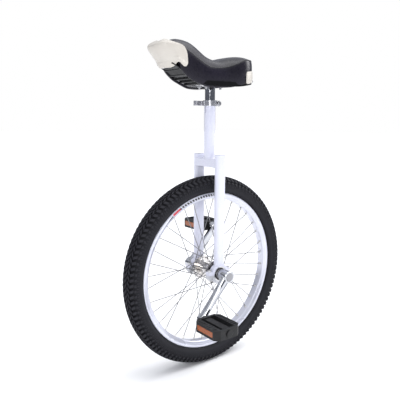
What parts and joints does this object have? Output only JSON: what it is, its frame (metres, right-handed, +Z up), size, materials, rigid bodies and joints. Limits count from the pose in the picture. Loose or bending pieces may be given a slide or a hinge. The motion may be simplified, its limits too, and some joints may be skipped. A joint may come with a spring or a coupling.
{
  "type": "unicycle",
  "caption": "Small-wheeled unicycle with a two-legged fork frame, direct-drive cranks, block pedals and a curved saddle on a quick-release height-adjustable post.",
  "frame": {"origin": "on the ground, straight below the middle of the axle", "axes": "+X forward, the way the rider faces; +Y to the rider's left, along the axle; +Z up"},
  "size_m": [0.508, 0.3724, 0.8371],
  "materials": {
    "gloss_white_paint": "gloss",
    "light_grey_paint": "satin",
    "polished_aluminium": "polished",
    "chrome_plate": "mirror",
    "zinc_steel": "satin",
    "bearing_steel": "ground",
    "black_seal_rubber": "matt",
    "tyre_rubber": "matt",
    "tube_rubber": "matt",
    "tape_fabric": "woven",
    "black_resin": "moulded",
    "grey_resin": "satin",
    "orange_reflector": "prismatic",
    "cream_bumper": "moulded",
    "charcoal_cover": "grained vinyl",
    "seat_foam": "open foam"
  },
  "bodies": {
    "frame": {"frame_leg_left": "gloss_white_paint", "frame_leg_right": "gloss_white_paint", "crown_crossbar": "gloss_white_paint", "seat_tube": "gloss_white_paint", "leg_top_caps": "gloss_white_paint", "bearing_holder_left": "gloss_white_paint", "bearing_holder_right": "gloss_white_paint", "bearing_cap_left": "light_grey_paint", "bearing_cap_right": "light_grey_paint", "bearing_cap_bolts": "zinc_steel", "bearing_cap_nuts": "zinc_steel", "bearing_outer_rings": "bearing_steel", "bearing_seals": "black_seal_rubber", "seat_clamp_collar": "polished_aluminium", "clamp_skewer": "chrome_plate", "clamp_nut": "zinc_steel", "clamp_cam_seat": "polished_aluminium"},
    "lever": {"clamp_lever": "polished_aluminium"},
    "saddle": {"seatpost": "chrome_plate", "seatpost_plate": "zinc_steel", "saddle_base": "black_resin", "saddle_foam": "seat_foam", "saddle_cover": "charcoal_cover", "front_bumper": "cream_bumper", "rear_bumper": "cream_bumper", "saddle_bolts": "zinc_steel", "saddle_nuts": "zinc_steel", "bumper_screws": "zinc_steel"},
    "wheel": {"tyre": "tyre_rubber", "inner_tube": "tube_rubber", "rim": "polished_aluminium", "rim_tape": "tape_fabric", "valve_stem": "black_seal_rubber", "spokes_left": "chrome_plate", "spokes_right": "chrome_plate", "spoke_nipples": "zinc_steel", "hub_barrel": "chrome_plate", "hub_flange_left": "chrome_plate", "hub_flange_right": "chrome_plate", "axle": "bearing_steel", "bearing_inner_rings": "bearing_steel", "bearing_balls": "bearing_steel", "axle_spacers": "bearing_steel", "crank_left": "chrome_plate", "crank_right": "chrome_plate", "crank_bolts": "zinc_steel", "crank_caps": "grey_resin", "pedal_spindle_left": "chrome_plate", "pedal_spindle_right": "chrome_plate"},
    "pedal_left": {"pedal_body_left": "black_resin", "pedal_bearings_left": "black_resin", "pedal_cap_left": "black_resin", "pedal_reflectors_left": "orange_reflector"},
    "pedal_right": {"pedal_body_right": "black_resin", "pedal_bearings_right": "black_resin", "pedal_cap_right": "black_resin", "pedal_reflectors_right": "orange_reflector"}
  },
  "joints": [
    {"name": "wheel_spin", "type": "hinge", "parent": "frame", "child": "wheel", "pos_m": [0, 0, 0.254], "axis": [0, 1, 0], "continuous": true},
    {"name": "pedal_left_spin", "type": "hinge", "parent": "wheel", "child": "pedal_left", "pos_m": [0.08201, 0, 0.15966], "axis": [0, 1, 0], "continuous": true},
    {"name": "pedal_right_spin", "type": "hinge", "parent": "wheel", "child": "pedal_right", "pos_m": [-0.08201, 0, 0.34834], "axis": [0, 1, 0], "continuous": true},
    {"name": "seat_height", "type": "slide", "parent": "frame", "child": "saddle", "axis": [0, 0, 1], "range_m": [-0.02, 0.055]},
    {"name": "clamp_lever_turn", "type": "hinge", "parent": "frame", "child": "lever", "pos_m": [-0.0225, -0.0146, 0.692], "axis": [0, 0, -1], "range_deg": [0, 135]}
  ]
}
